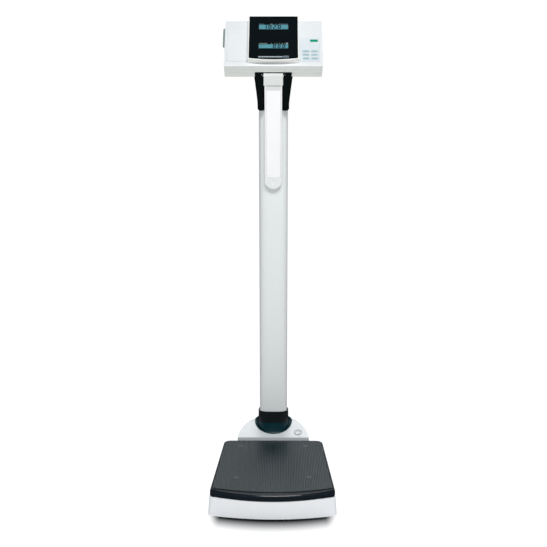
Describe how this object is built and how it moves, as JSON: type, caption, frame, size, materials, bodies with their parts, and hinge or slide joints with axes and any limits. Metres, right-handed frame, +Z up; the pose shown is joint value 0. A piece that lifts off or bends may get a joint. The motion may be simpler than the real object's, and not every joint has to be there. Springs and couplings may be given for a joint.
{
  "type": "electronic column scale",
  "caption": "Column scale with a ribbed step-on platform, a telescoping height gauge with folding tongue, and a sloping twin display console with keys.",
  "frame": {"origin": "on the floor under the middle of the whole outline, with the feet standing on z = 0", "axes": "+Z up along the column, +X to the right of a person facing the console, and the person steps on from -Y"},
  "size_m": [0.3602, 0.537, 1.3676],
  "materials": {
    "white_plastic": "satin moulded white",
    "console_plastic": "fine textured white",
    "black_plastic": "satin black",
    "cover_plastic": "glossy blue black",
    "mat_rubber": "ribbed",
    "foot_rubber": "plain",
    "column_metal": "powder coated light grey",
    "bare_aluminium": "anodised",
    "steel": "zinc plated",
    "display_glass": "polished black",
    "lcd": "blue green display",
    "circuit_board": "solder mask",
    "keypad_foil": "matt foil",
    "key_plastic": "matt blue grey",
    "key_green": "matt green",
    "port_grey": "soft grey",
    "vial": "clear"
  },
  "bodies": {
    "root": {"base_shell": "white_plastic", "base_frame": "steel", "load_cell_1": "bare_aluminium", "load_cell_2": "bare_aluminium", "load_cell_3": "bare_aluminium", "load_cell_4": "bare_aluminium", "load_plate": "steel", "platform_cover": "cover_plastic", "platform_mat": "mat_rubber", "rear_cover": "white_plastic", "level_ring": "white_plastic", "level_vial": "vial", "column_flange": "black_plastic", "column_sleeve": "black_plastic", "column": "column_metal", "column_socket": "bare_aluminium", "guide_bush": "black_plastic", "castor_bracket": "steel", "castor_axle": "steel", "power_inlet": "black_plastic", "balance_tape": "steel"},
    "head": {"yoke": "black_plastic", "inner_profile": "bare_aluminium", "lower_glide": "black_plastic", "console_tray": "console_plastic", "console_top": "console_plastic", "display_tower": "console_plastic", "display_window": "display_glass", "lcd_weight": "lcd", "lcd_height": "lcd", "main_board": "circuit_board", "keypad_panel": "keypad_foil", "key_board": "circuit_board", "hinge_pin": "steel", "side_port_cover": "port_grey", "drum_axle": "steel", "cheek_screw_1": "steel", "cheek_screw_2": "steel"},
    "tongue": {"tongue_block": "white_plastic", "tongue_arm": "white_plastic", "tongue_panel": "keypad_foil"},
    "drum": {"tape_drum": "black_plastic"},
    "lid": {"compartment_lid": "console_plastic"},
    "key_start_cap": {"key_start": "key_green"},
    "key_1_cap": {"key_1": "key_plastic"},
    "key_2_cap": {"key_2": "key_plastic"},
    "key_3_cap": {"key_3": "key_plastic"},
    "key_4_cap": {"key_4": "key_plastic"},
    "key_5_cap": {"key_5": "key_plastic"},
    "key_6_cap": {"key_6": "key_plastic"},
    "foot_1": {"foot_pad_1": "foot_rubber"},
    "screw_1": {"foot_screw_1": "steel"},
    "foot_2": {"foot_pad_2": "foot_rubber"},
    "screw_2": {"foot_screw_2": "steel"},
    "foot_3": {"foot_pad_3": "foot_rubber"},
    "screw_3": {"foot_screw_3": "steel"},
    "foot_4": {"foot_pad_4": "foot_rubber"},
    "screw_4": {"foot_screw_4": "steel"},
    "castor_1": {"castor_wheel_1": "foot_rubber"},
    "castor_2": {"castor_wheel_2": "foot_rubber"}
  },
  "joints": [
    {"name": "head_lift", "type": "slide", "parent": "root", "child": "head", "axis": [0, 0, 1], "range_m": [0, 0.88], "deforming": ["balance_tape"]},
    {"name": "tongue_fold", "type": "hinge", "parent": "head", "child": "tongue", "pos_m": [0, 0.149, 1.1985], "axis": [-1, 0, 0], "range_deg": [0, 90]},
    {"name": "drum_turn", "type": "hinge", "parent": "head", "child": "drum", "pos_m": [0, 0.2089, 1.172], "axis": [1, 0, 0], "continuous": true},
    {"name": "lid_lift", "type": "slide", "parent": "head", "child": "lid", "axis": [0, -0.7071, 0.7071], "range_m": [0, 0.04]},
    {"name": "key_start_press", "type": "slide", "parent": "head", "child": "key_start_cap", "axis": [0, 0.7071, -0.7071], "range_m": [0, 0.0008], "stiffness_N_per_m": 800, "springref_m": -0.0004},
    {"name": "key_1_press", "type": "slide", "parent": "head", "child": "key_1_cap", "axis": [0, 0.7071, -0.7071], "range_m": [0, 0.0008], "stiffness_N_per_m": 800, "springref_m": -0.0004},
    {"name": "key_2_press", "type": "slide", "parent": "head", "child": "key_2_cap", "axis": [0, 0.7071, -0.7071], "range_m": [0, 0.0008], "stiffness_N_per_m": 800, "springref_m": -0.0004},
    {"name": "key_3_press", "type": "slide", "parent": "head", "child": "key_3_cap", "axis": [0, 0.7071, -0.7071], "range_m": [0, 0.0008], "stiffness_N_per_m": 800, "springref_m": -0.0004},
    {"name": "key_4_press", "type": "slide", "parent": "head", "child": "key_4_cap", "axis": [0, 0.7071, -0.7071], "range_m": [0, 0.0008], "stiffness_N_per_m": 800, "springref_m": -0.0004},
    {"name": "key_5_press", "type": "slide", "parent": "head", "child": "key_5_cap", "axis": [0, 0.7071, -0.7071], "range_m": [0, 0.0008], "stiffness_N_per_m": 800, "springref_m": -0.0004},
    {"name": "key_6_press", "type": "slide", "parent": "head", "child": "key_6_cap", "axis": [0, 0.7071, -0.7071], "range_m": [0, 0.0008], "stiffness_N_per_m": 800, "springref_m": -0.0004},
    {"name": "foot_1_height", "type": "slide", "parent": "root", "child": "foot_1", "axis": [0, 0, -1], "range_m": [0, 0.003]},
    {"name": "foot_1_screw", "type": "hinge", "parent": "foot_1", "child": "screw_1", "pos_m": [-0.138, -0.19, 0.02], "axis": [0, 0, -1], "range_deg": [0, 720]},
    {"name": "foot_2_height", "type": "slide", "parent": "root", "child": "foot_2", "axis": [0, 0, -1], "range_m": [0, 0.003]},
    {"name": "foot_2_screw", "type": "hinge", "parent": "foot_2", "child": "screw_2", "pos_m": [0.138, -0.19, 0.02], "axis": [0, 0, -1], "range_deg": [0, 720]},
    {"name": "foot_3_height", "type": "slide", "parent": "root", "child": "foot_3", "axis": [0, 0, -1], "range_m": [0, 0.003]},
    {"name": "foot_3_screw", "type": "hinge", "parent": "foot_3", "child": "screw_3", "pos_m": [-0.082, 0.15, 0.02], "axis": [0, 0, -1], "range_deg": [0, 720]},
    {"name": "foot_4_height", "type": "slide", "parent": "root", "child": "foot_4", "axis": [0, 0, -1], "range_m": [0, 0.003]},
    {"name": "foot_4_screw", "type": "hinge", "parent": "foot_4", "child": "screw_4", "pos_m": [0.082, 0.15, 0.02], "axis": [0, 0, -1], "range_deg": [0, 720]},
    {"name": "castor_1_spin", "type": "hinge", "parent": "root", "child": "castor_1", "pos_m": [-0.036, 0.237, 0.024], "axis": [1, 0, 0], "continuous": true},
    {"name": "castor_2_spin", "type": "hinge", "parent": "root", "child": "castor_2", "pos_m": [0.036, 0.237, 0.024], "axis": [1, 0, 0], "continuous": true}
  ],
  "couplings": [
    {"joint": "drum_turn", "follows": "head_lift", "rad_per_m": 83.333},
    {"joint": "foot_1_screw", "follows": "foot_1_height", "rad_per_m": 4188.8},
    {"joint": "foot_2_screw", "follows": "foot_2_height", "rad_per_m": 4188.8},
    {"joint": "foot_3_screw", "follows": "foot_3_height", "rad_per_m": 4188.8},
    {"joint": "foot_4_screw", "follows": "foot_4_height", "rad_per_m": 4188.8}
  ]
}
